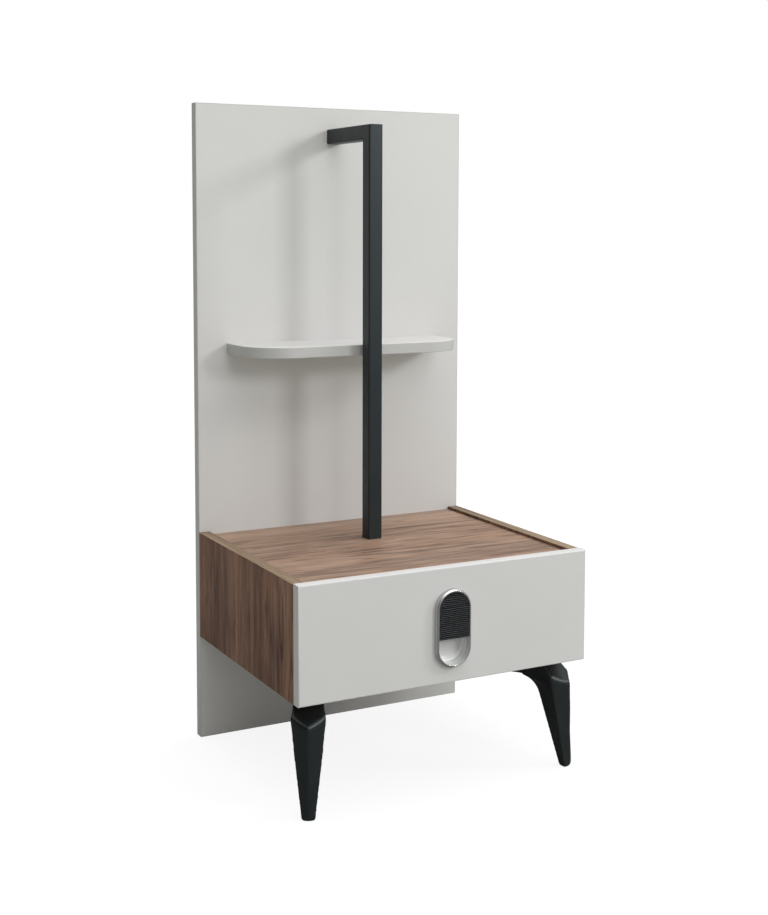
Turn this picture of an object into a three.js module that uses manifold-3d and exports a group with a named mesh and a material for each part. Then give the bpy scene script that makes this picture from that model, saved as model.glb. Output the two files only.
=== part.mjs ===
// A bedside cabinet: a low box with one drawer, fixed to a tall back panel that stands on the floor and
// to two moulded front legs. The panel also carries a small shelf and the arm of a steel post.
// Millimetres, +Z up, the drawer opens towards -Y. The origin is on the floor, in the middle of the
// bounding box.

import * as THREE from "three";
import { mergeVertices } from "three/addons/utils/BufferGeometryUtils.js";
import Module from "manifold-3d";

const wasm = await Module();
wasm.setup();

// Boards of the cabinet
const cabinetWidth = 500;
const panelHeight = 1065;
const panelThickness = 18;
const sideHeight = 178;
const sideThickness = 18;
const topThickness = 18;
const topRecess = 5; // from the sides' upper edges down to the top panel
const bottomThickness = 18;
const legHeight = 175; // floor to the underside of the box

// Shelf on the back panel, its two front corners rounded
const shelfWidth = 396;
const shelfDepth = 126;
const shelfThickness = 18;
const shelfCornerRadius = 72;
const shelfHeight = 669; // floor to the shelf's upper face

// Post and arm, of square steel tube, mitred and welded at the corner
const tubeSize = 25;
const tubeWall = 1.5;
const tubeCornerRadius = 2;
const postReach = 159; // from the panel's face to the post's front face
const armDrop = 36; // from the panel's upper edge down to the arm
const plugLength = 14;
const plugClearance = 0.2;

// Legs, seen from above: u runs from the front ridge along the arm, v across it
const legInset = 19.5; // from the cabinet's side to the ridge
const ridgeOverhang = 10; // from the carcass's front edge forward to the ridge
const legTurn = 65; // degrees from +X to the arm of the left leg
const footCornerU = 2.6;
const footCornerV = 10.5;
const footRearU = 15.5;
const footRearV = 6.5;
const shoulderU = 21;
const shoulderV = 27;
const shoulderHeight = 141; // where the leg is at its widest, and the ridge ends
const scoopEndU = 40; // of the scoop over the ridge, at the leg's top
const scoopBendU = 28;
const scoopBendRise = 7; // above the ridge's end
const armEndU = 115;
const armEndV = 10;
const armDepth = 38;
const armFilletRadius = 34;
const legRearSlope = 0.335; // u gained by the rear edge per millimetre of height
const legScrewPlace = 70; // along u, of the screw nearer the ridge
const legScrewSpacing = 30;
const legScrewSkin = 6; // plastic between a screw's head and the box
const legScrewWellRadius = 5;
const footRounding = 3;

// Drawer front
const frontThickness = 18;
const frontHeight = 178;
const frontGap = 1; // from the carcass to the shut front
const frontLift = 1; // the front hangs this far above the box's underside, clear of the legs

// Drawer box, as long as its runners
const drawerHeight = 105;
const drawerWall = 15;
const drawerFloorRoom = 12; // from the bottom panel up to the drawer box
const drawerBaseThickness = 4;
const drawerBaseInset = 12; // from the drawer sides' lower edges up to the base
const grooveDepth = 6;
const grooveClearance = 0.2;

// Ball-bearing runners, three members a side. Depths run from the carcass side to the drawer.
const runnerSpace = 13; // between the carcass side and the drawer
const runnerLength = 350;
const runnerHeight = 45;
const runnerWall = 1.2;
const runnerFrontSetback = 3; // from the carcass's front edge to the runners
const runnerRearRoom = 31; // from the runners to the back panel
const outerFlangeEnd = 10;
const middleFlangeEnd = 10.6;
const raceHeight = 3.4; // between the flanges of two members
const ballDiameter = 3.2;
const ballDepth = 8;
const ballsPerRow = 5;
const cageWall = 0.5;
const runnerSlip = 0.3;
const runnerHeadRoom = 1.8;
const runnerHold = 10; // of a runner's length, still engaged when the drawer is fully open

// Recessed handle: a chrome cup with a rounded rim, and a ribbed plate over its upper part
const handleWidth = 60;
const handleHeight = 120;
const handleProud = 9; // from the front's face to the rim
const handleRimWidth = 3.5;
const handleRimEdge = { width: 2.6, height: 4 }; // of the rounded outer edge
const handleWall = 1.2;
const handleDepth = 14.5; // into the front, with the floor
const handleFloor = 1;
const handleOffset = { x: 4, z: -4 }; // from the front's middle
const handleFit = 0.3;
const insertHeight = 72;
const insertRecess = 0.8; // below the rim
const insertPlate = 2.5;
const ribHeight = 1.5;
const ribCount = 24;
const bossRadius = 4;
const bossSpacing = 32;
const bossLowest = 10; // from the handle's middle up to the lower boss

// Screws. Lengths are over all with a countersunk head, and under the head with a pan head.
const drillClearance = 0.25;
const carcassScrew = { sunk: true, head: 5, headHeight: 4, shank: 3, length: 50, point: 4 };
const shelfScrew = { sunk: true, head: 4.5, headHeight: 3.6, shank: 2.5, length: 60, point: 4 };
const plugBite = 12; // of a screw's length in a plug
const armScrewLength = panelThickness + plugBite;
const armScrew = { sunk: true, head: 5.5, headHeight: 3.4, shank: 2.9, length: armScrewLength, point: 0.6 };
const postScrew = { head: 6, headHeight: 3.6, shank: 2.9, length: topThickness + plugBite, point: 0.6 };
const legScrewBite = 14; // of a leg screw's length in the bottom panel
const legScrew = { head: 4, headHeight: 2.6, shank: 2, length: legScrewSkin + legScrewBite, point: 3 };
const runnerScrew = { head: 3.2, headHeight: 1.6, shank: 1.6, length: 12, point: 3 };
const frontScrew = { sunk: true, head: 3.6, headHeight: 2.6, shank: 1.75, length: 26, point: 3 };
const handleScrewBite = 8.5; // of a handle screw's length in the cup's boss
const handleScrewLength = drawerWall + frontThickness - handleDepth + handleScrewBite;
const handleScrew = { head: 3.8, headHeight: 2.6, shank: 1.9, length: handleScrewLength, point: 0.6 };
const carcassScrewEdge = 40; // from a side panel's upper and lower edges
const shelfScrewSpread = 240;
const frontScrewInset = 60; // from the drawer's inner sides
const runnerScrewInset = 45; // from a runner's ends
const screwSides = 12;
const socketShare = { width: 0.45, depth: 0.5 }; // of a screw's head

// A glued dowel near the front of each joint between a side panel and the top or the bottom panel
const dowel = { radius: 4, length: 30, chamfer: 1 };
const dowelInSide = 11; // of a dowel's length in the side panel
const dowelSetback = 60; // from the carcass's front edge

// Finishes
const greyBoard = { color: 0xc6c5c2, roughness: 0.5, metalness: 0 };
const shelfBoard = { color: 0xd9d7d3, roughness: 0.5, metalness: 0 };
const walnut = { color: 0x7d5f4c, roughness: 0.55, metalness: 0 };
const drawerBoard = { color: 0xd8d5cf, roughness: 0.6, metalness: 0 };
const blackMetal = { color: 0x2b3032, roughness: 0.45, metalness: 0.2 };
const blackPlastic = { color: 0x232727, roughness: 0.4, metalness: 0 };
const chrome = { color: 0xd4d6d8, roughness: 0.12, metalness: 1 };
const zincSteel = { color: 0xa9acae, roughness: 0.35, metalness: 0.9 };
const beech = { color: 0xc9a877, roughness: 0.7, metalness: 0 };

// Places that follow from the sizes
const sideDepth = runnerFrontSetback + runnerLength + runnerRearRoom;
const overallDepth = panelThickness + sideDepth + frontGap + frontThickness + handleProud;
const rearY = overallDepth / 2;
const panelFaceY = rearY - panelThickness;
const carcassFrontY = panelFaceY - sideDepth;
const frontBackY = carcassFrontY - frontGap;
const frontFaceY = frontBackY - frontThickness;
const sideOuterX = cabinetWidth / 2;
const sideInnerX = sideOuterX - sideThickness;
const boxBottomZ = legHeight;
const boxFloorZ = boxBottomZ + bottomThickness;
const sideTopZ = boxBottomZ + sideHeight;
const topSurfaceZ = sideTopZ - topRecess;
const topUndersideZ = topSurfaceZ - topThickness;
const postFrontY = panelFaceY - postReach;
const postRearY = postFrontY + tubeSize;
const postMiddleY = (postFrontY + postRearY) / 2;
const armTopZ = panelHeight - armDrop;
const armBottomZ = armTopZ - tubeSize;
const armMiddleZ = (armTopZ + armBottomZ) / 2;
const drawerOuterX = sideInnerX - runnerSpace;
const drawerInnerX = drawerOuterX - drawerWall;
const drawerRearY = frontBackY + runnerLength;
const drawerLowZ = boxFloorZ + drawerFloorRoom;
const drawerHighZ = drawerLowZ + drawerHeight;
const baseLowZ = drawerLowZ + drawerBaseInset;
const baseHighZ = baseLowZ + drawerBaseThickness;
const innerFrontRearY = frontBackY + drawerWall;
const runnerFrontY = carcassFrontY + runnerFrontSetback;
const runnerMiddleZ = (drawerLowZ + drawerHighZ) / 2;
const frontLowZ = boxBottomZ + frontLift;
const handleZ = frontLowZ + frontHeight / 2 + handleOffset.z;

const up = [0, 0, 1];
const forward = [0, -1, 0];

// Solids and meshes
function solidOf(geometry) {
  const bare = geometry.clone();
  bare.deleteAttribute("normal");
  bare.deleteAttribute("uv");
  const merged = mergeVertices(bare, 1e-4);
  const corners = merged.index.array;
  const kept = [];
  for (let i = 0; i < corners.length; i += 3) {
    const [a, b, c] = corners.slice(i, i + 3);
    if (a !== b && b !== c && c !== a) kept.push(a, b, c);
  }
  return new wasm.Manifold(
    new wasm.Mesh({
      numProp: 3,
      vertProperties: merged.attributes.position.array,
      triVerts: new Uint32Array(kept),
    }),
  );
}

function meshOf(name, solid, finish) {
  const { vertProperties, triVerts } = solid.getMesh();
  const geometry = new THREE.BufferGeometry();
  geometry.setAttribute("position", new THREE.BufferAttribute(vertProperties, 3));
  geometry.setIndex(new THREE.BufferAttribute(triVerts, 1));
  const material = new THREE.MeshStandardMaterial({ ...finish, flatShading: true });
  const mesh = new THREE.Mesh(geometry, material);
  mesh.name = name;
  return mesh;
}

// A block between two values on each axis.
function block([x0, x1], [y0, y1], [z0, z1]) {
  const geometry = new THREE.BoxGeometry(x1 - x0, y1 - y0, z1 - z0);
  return solidOf(geometry.translate((x0 + x1) / 2, (y0 + y1) / 2, (z0 + z1) / 2));
}

function outline(points) {
  return new THREE.Shape(points.map(([a, b]) => new THREE.Vector2(a, b)));
}

function extruded(shape, depth, curveSegments = 16) {
  return new THREE.ExtrudeGeometry(shape, { depth, bevelEnabled: false, curveSegments });
}

// A flat outline drawn out along one axis. Its own axes are X and Y, X and Z, or Y and Z.
function drawnAlongZ(shape, z0, z1) {
  return solidOf(extruded(shape, z1 - z0).translate(0, 0, z0));
}

function drawnAlongY(shape, y0, y1) {
  return solidOf(extruded(shape, y1 - y0).rotateX(Math.PI / 2).translate(0, y1, 0));
}

function drawnAlongX(shape, x0, x1) {
  return solidOf(extruded(shape, x1 - x0).rotateX(Math.PI / 2).rotateZ(Math.PI / 2).translate(x0, 0, 0));
}

// A turned solid from a profile of radius and height, along +Z.
function turned(profile, sides) {
  const points = profile.map(([radius, height]) => new THREE.Vector2(radius, height));
  return new THREE.LatheGeometry(points, sides).rotateX(Math.PI / 2);
}

// A solid through rings of points that all have the same number of corners.
function loft(rings) {
  const count = rings[0].length;
  const faces = [];
  for (let low = 0; low < (rings.length - 1) * count; low += count) {
    const high = low + count;
    for (let i = 0; i < count; i++) {
      const next = (i + 1) % count;
      faces.push(low + i, low + next, high + next);
      faces.push(low + i, high + next, high + i);
    }
  }
  const last = (rings.length - 1) * count;
  for (let i = 1; i < count - 1; i++) {
    faces.push(0, i + 1, i);
    faces.push(last, last + i, last + i + 1);
  }
  const geometry = new THREE.BufferGeometry().setFromPoints(rings.flat());
  geometry.setIndex(faces);
  return solidOf(geometry);
}

function turnTowards(along) {
  return new THREE.Quaternion().setFromUnitVectors(new THREE.Vector3(...up), new THREE.Vector3(...along));
}

function aim(geometry, at, along) {
  return geometry.applyQuaternion(turnTowards(along)).translate(...at);
}

function rod(radius, at, along, length, sides = screwSides) {
  const profile = [[0, 0], [radius, 0], [radius, length], [0, length]];
  return solidOf(aim(turned(profile, sides), at, along));
}

// Screws and dowels start at the origin and run along +Z. A sunk head lies flush with the surface there,
// and a pan head stands on it. The spare is the clearance of the hole that a fastener is in.
function screwProfile({ sunk, head, headHeight, shank, length, point }, spare) {
  const mouth = spare > 0 ? -1 : 0;
  const top = sunk ? mouth : mouth - headHeight;
  const bearing = sunk ? headHeight : 0;
  const lip = sunk ? headHeight / 8 : -spare;
  const shaft = [[shank + spare, bearing + spare], [shank + spare, length - point], [0, length + spare]];
  return [[0, top], [head + spare, top], [head + spare, lip], ...shaft];
}

function dowelProfile({ radius, length, chamfer }, spare) {
  const low = -spare;
  const high = length + spare;
  const wide = radius + spare;
  const narrow = wide - chamfer;
  return [[0, low], [narrow, low], [wide, low + chamfer], [wide, high - chamfer], [narrow, high], [0, high]];
}

function fastenerProfile(kind, spare = 0) {
  return kind.head ? screwProfile(kind, spare) : dowelProfile(kind, spare);
}

function placed(mesh, at, along) {
  mesh.quaternion.copy(turnTowards(along));
  mesh.position.set(...at);
  return mesh;
}

function screwMesh({ name, kind, at, along }) {
  const headTop = kind.sunk ? 0 : -kind.headHeight;
  const body = solidOf(turned(fastenerProfile(kind), screwSides));
  const spare = 1;
  const depth = socketShare.depth * kind.headHeight + spare;
  const socket = rod(socketShare.width * kind.head, [0, 0, headTop - spare], up, depth, 6);
  return placed(meshOf(name, body.subtract(socket), zincSteel), at, along);
}

function dowelMesh({ name, kind, at, along }) {
  return placed(meshOf(name, solidOf(turned(fastenerProfile(kind), screwSides)), beech), at, along);
}

// The body with a hole for each fastener that reaches it.
function drilled(body, fasteners) {
  return fasteners.reduce((left, { kind, at, along }) => {
    const hole = solidOf(aim(turned(fastenerProfile(kind, drillClearance), screwSides), at, along));
    return left.subtract(hole);
  }, body);
}

// A mesh whose own origin is at the middle of its box.
function centred(name, solid, finish) {
  const { min, max } = solid.boundingBox();
  const middle = min.map((low, i) => (low + max[i]) / 2);
  const mesh = meshOf(name, solid.translate(middle.map((value) => -value)), finish);
  mesh.position.set(...middle);
  return mesh;
}

const bothSides = [["left", -1], ["right", 1]];

// Fasteners of the fixed boards
const carcassScrews = bothSides.flatMap(([side, sign]) =>
  [["low", boxBottomZ + carcassScrewEdge], ["high", sideTopZ - carcassScrewEdge]].map(([level, z]) => ({
    name: `side_screw_${side}_${level}`,
    kind: carcassScrew,
    at: [sign * (sideOuterX - sideThickness / 2), rearY, z],
    along: forward,
  })),
);
const crossMiddles = [
  ["top", topUndersideZ + topThickness / 2],
  ["bottom", boxBottomZ + bottomThickness / 2],
];
const crossScrews = crossMiddles.map(([board, z]) => ({
  name: `${board}_panel_screw`,
  kind: carcassScrew,
  at: [0, rearY, z],
  along: forward,
}));
const shelfScrews = bothSides.map(([side, sign]) => ({
  name: `shelf_screw_${side}`,
  kind: shelfScrew,
  at: [(sign * shelfScrewSpread) / 2, rearY, shelfHeight - shelfThickness / 2],
  along: forward,
}));
const dowels = bothSides.flatMap(([side, sign]) =>
  crossMiddles.map(([board, z]) => ({
    name: `dowel_${board}_${side}`,
    kind: dowel,
    at: [sign * (sideInnerX + dowelInSide), carcassFrontY + dowelSetback, z],
    along: [-sign, 0, 0],
  })),
);
const armScrewPlace = {
  name: "arm_screw",
  kind: armScrew,
  at: [0, rearY, armMiddleZ],
  along: forward,
};
const postScrewPlace = {
  name: "post_screw",
  kind: postScrew,
  at: [0, postMiddleY, topUndersideZ],
  along: up,
};

function backPanel() {
  const board = block([-sideOuterX, sideOuterX], [panelFaceY, rearY], [0, panelHeight]);
  const screws = [...carcassScrews, ...crossScrews, ...shelfScrews, armScrewPlace];
  return centred("back_panel", drilled(board, screws), greyBoard);
}

function sidePanel(side, sign, runnerScrews) {
  const x = [sign * sideInnerX, sign * sideOuterX].sort((a, b) => a - b);
  const board = block(x, [carcassFrontY, panelFaceY], [boxBottomZ, sideTopZ]);
  const fasteners = [...carcassScrews, ...dowels, ...runnerScrews];
  return centred(`side_panel_${side}`, drilled(board, fasteners), walnut);
}

function topPanel() {
  const x = [-sideInnerX, sideInnerX];
  const board = block(x, [carcassFrontY, panelFaceY], [topUndersideZ, topSurfaceZ]);
  return centred("top_panel", drilled(board, [...crossScrews, ...dowels, postScrewPlace]), walnut);
}

function bottomPanel(legScrews) {
  const x = [-sideInnerX, sideInnerX];
  const board = block(x, [carcassFrontY, panelFaceY], [boxBottomZ, boxFloorZ]);
  return centred("bottom_panel", drilled(board, [...crossScrews, ...dowels, ...legScrews]), walnut);
}

function shelf() {
  const half = shelfWidth / 2;
  const frontY = panelFaceY - shelfDepth;
  const radius = shelfCornerRadius;
  const shape = new THREE.Shape();
  shape.moveTo(-half, panelFaceY);
  shape.lineTo(-half, frontY + radius);
  shape.absarc(-half + radius, frontY + radius, radius, Math.PI, 1.5 * Math.PI);
  shape.absarc(half - radius, frontY + radius, radius, 1.5 * Math.PI, 2 * Math.PI);
  shape.lineTo(half, panelFaceY);
  const board = drawnAlongZ(shape, shelfHeight - shelfThickness, shelfHeight);
  return centred("shelf", drilled(board, shelfScrews), shelfBoard);
}

// Post and arm
function roundedSquare(size, radius) {
  const half = size / 2;
  const inset = half - radius;
  const shape = new THREE.Shape();
  shape.absarc(inset, -inset, radius, -Math.PI / 2, 0);
  shape.absarc(inset, inset, radius, 0, Math.PI / 2);
  shape.absarc(-inset, inset, radius, Math.PI / 2, Math.PI);
  shape.absarc(-inset, -inset, radius, Math.PI, 1.5 * Math.PI);
  return shape;
}

function tube(length) {
  const shape = roundedSquare(tubeSize, tubeCornerRadius);
  const bore = tubeSize - 2 * tubeWall;
  const boreRadius = Math.max(tubeCornerRadius - tubeWall, 0.3);
  shape.holes.push(roundedSquare(bore, boreRadius));
  return extruded(shape, length, 3);
}

// A wedge behind and above the mitre, as far as the panel: the arm keeps what lies in it, the post what
// doesn't.
function mitreWedge() {
  const reach = postReach;
  return drawnAlongX(
    outline([
      [postFrontY - reach, armTopZ + reach],
      [postRearY + reach, armBottomZ - reach],
      [postRearY + reach, armTopZ + reach],
    ]),
    -tubeSize,
    tubeSize,
  );
}

function postTube() {
  const post = solidOf(tube(armTopZ - topSurfaceZ).translate(0, postMiddleY, topSurfaceZ));
  return centred("post_tube", post.subtract(mitreWedge()), blackMetal);
}

function armTube() {
  const along = tube(panelFaceY - postFrontY).rotateX(Math.PI / 2);
  const arm = solidOf(along.translate(0, panelFaceY, armMiddleZ));
  return centred("arm_tube", arm.intersect(mitreWedge()), blackMetal);
}

// A threaded plug pressed into each open end of the tube.
function tubePlug(name, at, along, screw) {
  const half = tubeSize / 2 - tubeWall - plugClearance;
  const geometry = new THREE.BoxGeometry(2 * half, 2 * half, plugLength).translate(0, 0, plugLength / 2);
  return centred(name, drilled(solidOf(aim(geometry, at, along)), [screw]), blackPlastic);
}

// Legs, modelled with the ridge at the origin and the arm along +X. The rear edge slopes up to a fillet
// that turns it into the arm's underside.
const armUndersideZ = legHeight - armDepth;
const slopeLength = Math.hypot(1, legRearSlope);
const filletZ = armUndersideZ - armFilletRadius;
const filletU = footRearU + legRearSlope * filletZ + armFilletRadius * slopeLength;
const tangentZ = filletZ + (armFilletRadius * legRearSlope) / slopeLength;

function mix(from, to, share) {
  return from + (to - from) * share;
}

function legRing(z) {
  const rise = Math.min(z / shoulderHeight, 1);
  const cornerU = mix(footCornerU, shoulderU, rise);
  const cornerV = mix(footCornerV, shoulderV, rise);
  const rearV = mix(footRearV, armEndV, Math.min(z / armUndersideZ, 1));
  const lift = Math.min(z, armUndersideZ) - filletZ;
  const onFillet = filletU - Math.sqrt(Math.max(armFilletRadius ** 2 - lift ** 2, 0));
  const rearU = z < tangentZ ? footRearU + legRearSlope * z : onFillet;
  const untilRounded = Math.max(footRounding - z, 0);
  const drawnIn = footRounding - Math.sqrt(footRounding ** 2 - untilRounded ** 2);
  const middle = new THREE.Vector3((cornerU + rearU) / 2, 0, z);
  return [
    [0, 0],
    [cornerU, -cornerV],
    [rearU, -rearV],
    [rearU, rearV],
    [cornerU, cornerV],
  ].map(([u, v]) => new THREE.Vector3(u, v, z).lerp(middle, drawnIn / cornerV));
}

function legBody(screws) {
  const filletSteps = 7;
  const levels = [0, footRounding / 3, footRounding, tangentZ / 2, tangentZ];
  for (let i = 1; i <= filletSteps; i++) {
    const turn = (Math.PI / 2) * (i / filletSteps);
    levels.push(tangentZ + (armUndersideZ - tangentZ) * Math.sin(turn));
  }
  levels.push(Math.max(shoulderHeight, armUndersideZ + footRounding), legHeight);
  const trunk = loft(levels.map(legRing));
  const armPlan = new THREE.Shape();
  armPlan.moveTo(shoulderU, -armEndV);
  armPlan.absarc(armEndU - armEndV, 0, armEndV, -Math.PI / 2, Math.PI / 2);
  armPlan.lineTo(shoulderU, armEndV);
  const arm = drawnAlongZ(armPlan, armUndersideZ, legHeight);
  // The scoop over the ridge starts nearly level at the ridge's end and is steep where it meets the box.
  const spare = 10;
  const scoopSide = new THREE.Shape();
  scoopSide.moveTo(-spare, shoulderHeight);
  scoopSide.lineTo(0, shoulderHeight);
  scoopSide.quadraticCurveTo(scoopBendU, shoulderHeight + scoopBendRise, scoopEndU, legHeight);
  scoopSide.lineTo(scoopEndU, legHeight + spare);
  scoopSide.lineTo(-spare, legHeight + spare);
  const scoop = drawnAlongY(scoopSide, -2 * shoulderV, 2 * shoulderV);
  const wells = screws.map(({ at: [u, v, z] }) => rod(legScrewWellRadius, [u, v, 0], up, z));
  const body = wells.reduce((left, well) => left.subtract(well), trunk.add(arm).subtract(scoop));
  return drilled(body, screws);
}

// One leg with its screws, and where its screws come up into the bottom panel.
function legGroup(side, sign) {
  const screws = [legScrewPlace, legScrewPlace + legScrewSpacing].map((u, i) => ({
    name: `leg_screw_${side}_${i + 1}`,
    kind: legScrew,
    at: [u, 0, legHeight - legScrewSkin],
    along: up,
  }));
  const leg = new THREE.Group();
  leg.add(meshOf(`leg_${side}`, legBody(screws), blackPlastic), ...screws.map(screwMesh));
  leg.rotation.z = THREE.MathUtils.degToRad(legTurn);
  leg.position.set(-sideOuterX + legInset, carcassFrontY - ridgeOverhang, 0);
  const mirrored = new THREE.Group();
  mirrored.scale.x = -sign;
  mirrored.add(leg);
  mirrored.updateMatrixWorld(true);
  const drillings = screws.map((screw) => {
    const place = new THREE.Vector3(...screw.at).applyMatrix4(leg.matrixWorld);
    return { ...screw, at: place.toArray() };
  });
  return { group: mirrored, drillings };
}

// Runners, modelled for the left side: X from the carcass side to the drawer, Z from the runner's middle
const outerHalf = runnerHeight / 2;
const middleHalf = outerHalf - runnerWall - raceHeight;
const innerHalf = middleHalf - runnerWall - raceHeight;
const outerCageX = runnerWall + runnerHeadRoom;
const middleWebX = outerCageX + cageWall + runnerSlip;
const innerCageX = middleWebX + runnerWall + runnerSlip;
const innerFlangeX = innerCageX + cageWall + runnerSlip;

// The middle member goes half as far as the drawer, and each cage halfway between its two members. The
// cages are as long as those members still overlap when the drawer is fully open.
const drawerTravel = runnerLength - runnerHold;
const cageLength = runnerLength - drawerTravel / 2;

// A channel with its web at webX and the ends of its flanges at tipX.
function channel(half, webX, tipX) {
  const inside = webX + Math.sign(tipX - webX) * runnerWall;
  const lip = half - runnerWall;
  const lower = [[webX, -half], [tipX, -half], [tipX, -lip], [inside, -lip]];
  const upper = lower.map(([x, z]) => [x, -z]).reverse();
  return drawnAlongY(outline([...lower, ...upper]), 0, runnerLength);
}

// A cage: a thin channel that holds a row of balls above and below.
function ballCage(name, webX, raceZ) {
  const tipX = ballDepth + ballDiameter / 2 - runnerSlip;
  const lip = cageWall / 2;
  const inner = raceZ - lip;
  const outer = raceZ + lip;
  const shape = outline([
    [webX, -outer],
    [tipX, -outer],
    [tipX, -inner],
    [webX + cageWall, -inner],
    [webX + cageWall, inner],
    [tipX, inner],
    [tipX, outer],
    [webX, outer],
  ]);
  const startY = drawerTravel / 4;
  let cage = drawnAlongY(shape, startY, startY + cageLength);
  const pitch = cageLength / ballsPerRow;
  for (let i = 0; i < ballsPerRow; i++) {
    for (const z of [-raceZ, raceZ]) {
      const ball = new THREE.SphereGeometry(ballDiameter / 2, 8, 6).rotateX(Math.PI / 2);
      cage = cage.add(solidOf(ball.translate(ballDepth, startY + (i + 0.5) * pitch, z)));
    }
  }
  return meshOf(name, cage, zincSteel);
}

function runnerGroup(side, sign) {
  const screwYs = [runnerScrewInset, runnerLength - runnerScrewInset];
  const outerScrews = screwYs.map((y, i) => ({
    name: `runner_outer_screw_${side}_${i + 1}`,
    kind: runnerScrew,
    at: [runnerWall, y, 0],
    along: [-1, 0, 0],
  }));
  const innerScrews = screwYs.map((y, i) => ({
    name: `runner_inner_screw_${side}_${i + 1}`,
    kind: runnerScrew,
    at: [runnerSpace - runnerWall, y, 0],
    along: [1, 0, 0],
  }));
  const runner = new THREE.Group();
  const outer = drilled(channel(outerHalf, 0, outerFlangeEnd), outerScrews);
  const middle = channel(middleHalf, middleWebX, middleFlangeEnd);
  const inner = drilled(channel(innerHalf, runnerSpace, innerFlangeX), innerScrews);
  runner.add(
    meshOf(`runner_outer_${side}`, outer, zincSteel),
    meshOf(`runner_middle_${side}`, middle, zincSteel),
    meshOf(`runner_inner_${side}`, inner, zincSteel),
    ballCage(`runner_outer_cage_${side}`, outerCageX, outerHalf - runnerWall - raceHeight / 2),
    ballCage(`runner_inner_cage_${side}`, innerCageX, middleHalf - runnerWall - raceHeight / 2),
    ...[...outerScrews, ...innerScrews].map(screwMesh),
  );
  runner.position.set(-sideInnerX, runnerFrontY, runnerMiddleZ);
  const mirrored = new THREE.Group();
  mirrored.scale.x = -sign;
  mirrored.add(runner);
  mirrored.updateMatrixWorld(true);
  const drillings = [...outerScrews, ...innerScrews].map((screw) => {
    const place = new THREE.Vector3(...screw.at).applyMatrix4(runner.matrixWorld);
    return { ...screw, at: place.toArray(), along: [-sign * screw.along[0], 0, 0] };
  });
  return { group: mirrored, drillings };
}

// Handle, modelled with its middle at the origin, on the front's face
function obround(width, height) {
  const radius = width / 2;
  const straight = height / 2 - radius;
  const shape = new THREE.Shape();
  shape.absarc(0, straight, radius, 0, Math.PI);
  shape.absarc(0, -straight, radius, Math.PI, 2 * Math.PI);
  return shape;
}

function obroundRing(width, height, y) {
  return obround(width, height)
    .getPoints(20)
    .filter((point, i, all) => i === 0 || point.distanceTo(all[i - 1]) > 1e-6)
    .filter((point, i, all) => i === 0 || point.distanceTo(all[0]) > 1e-6)
    .map((point) => new THREE.Vector3(point.x, y, point.y));
}

const opening = { width: handleWidth - 2 * handleRimWidth, height: handleHeight - 2 * handleRimWidth };
const shellSize = { width: opening.width + 2 * handleWall, height: opening.height + 2 * handleWall };
const insertFrontY = insertRecess - handleProud;
const insertRearY = insertFrontY + ribHeight + insertPlate;
const bossHeights = [bossLowest, bossLowest + bossSpacing];
const handleScrews = bossHeights.map((z, i) => ({
  name: `handle_screw_${i + 1}`,
  kind: handleScrew,
  at: [0, frontThickness + drawerWall, z],
  along: forward,
}));

function handleCup() {
  // The rim's outer edge is a quarter of an ellipse.
  const edgeSteps = 5;
  const rings = [obroundRing(handleWidth, handleHeight, 0)];
  for (let i = 0; i <= edgeSteps; i++) {
    const turn = (Math.PI / 2) * (i / edgeSteps);
    const inset = handleRimEdge.width * (1 - Math.cos(turn));
    const y = handleRimEdge.height * (1 - Math.sin(turn)) - handleProud;
    rings.push(obroundRing(handleWidth - 2 * inset, handleHeight - 2 * inset, y));
  }
  const rim = loft(rings);
  const shell = drawnAlongY(obround(shellSize.width, shellSize.height), 0, handleDepth);
  const hollowFrontY = -2 * handleProud;
  const hollow = drawnAlongY(obround(opening.width, opening.height), hollowFrontY, handleDepth - handleFloor);
  const bossLength = handleDepth - insertRearY;
  const bosses = bossHeights.map((z) => rod(bossRadius, [0, handleDepth, z], forward, bossLength));
  const cup = bosses.reduce((left, boss) => left.add(boss), rim.add(shell).subtract(hollow));
  return meshOf("handle_cup", drilled(cup, handleScrews), chrome);
}

function handleInsert() {
  const halfWidth = opening.width / 2 - handleFit;
  const topZ = opening.height / 2 - handleFit;
  const bottomZ = topZ - insertHeight;
  const shape = new THREE.Shape();
  shape.moveTo(-halfWidth, bottomZ);
  shape.lineTo(halfWidth, bottomZ);
  shape.absarc(0, topZ - halfWidth, halfWidth, 0, Math.PI);
  const plan = drawnAlongY(shape, insertFrontY, insertRearY);
  const pitch = insertHeight / ribCount;
  const rootY = insertFrontY + ribHeight;
  const ribSteps = 4;
  const profile = [[insertRearY, topZ], [insertRearY, bottomZ]];
  for (let i = 0; i < ribCount; i++) {
    for (let k = 0; k < ribSteps; k++) {
      const turn = (Math.PI * k) / ribSteps;
      profile.push([rootY - ribHeight * Math.sin(turn), bottomZ + pitch * (i + (1 - Math.cos(turn)) / 2)]);
    }
  }
  profile.push([rootY, topZ]);
  const ribbed = drawnAlongX(outline(profile.reverse()), -halfWidth, halfWidth);
  return meshOf("handle_insert", ribbed.intersect(plan), blackPlastic);
}

// Drawer
const frontScrews = bothSides.map(([side, sign]) => ({
  name: `front_screw_${side}`,
  kind: frontScrew,
  at: [sign * (drawerInnerX - frontScrewInset), innerFrontRearY, (drawerLowZ + drawerHighZ) / 2],
  along: forward,
}));

// The screws that hold the handle, in the cabinet's own frame.
const handlePlace = [handleOffset.x, frontFaceY, handleZ];
const handleDrillings = handleScrews.map((screw) => ({
  ...screw,
  at: screw.at.map((value, i) => value + handlePlace[i]),
}));

// The thin base and the grooves it slides into, as one block that is wider by the groove's clearance.
function drawerBase(spare) {
  const reach = drawerInnerX + grooveDepth - grooveClearance + spare;
  const y = [innerFrontRearY - grooveDepth + grooveClearance - spare, drawerRearY + spare];
  return block([-reach, reach], y, [baseLowZ - spare, baseHighZ + spare]);
}

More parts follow.
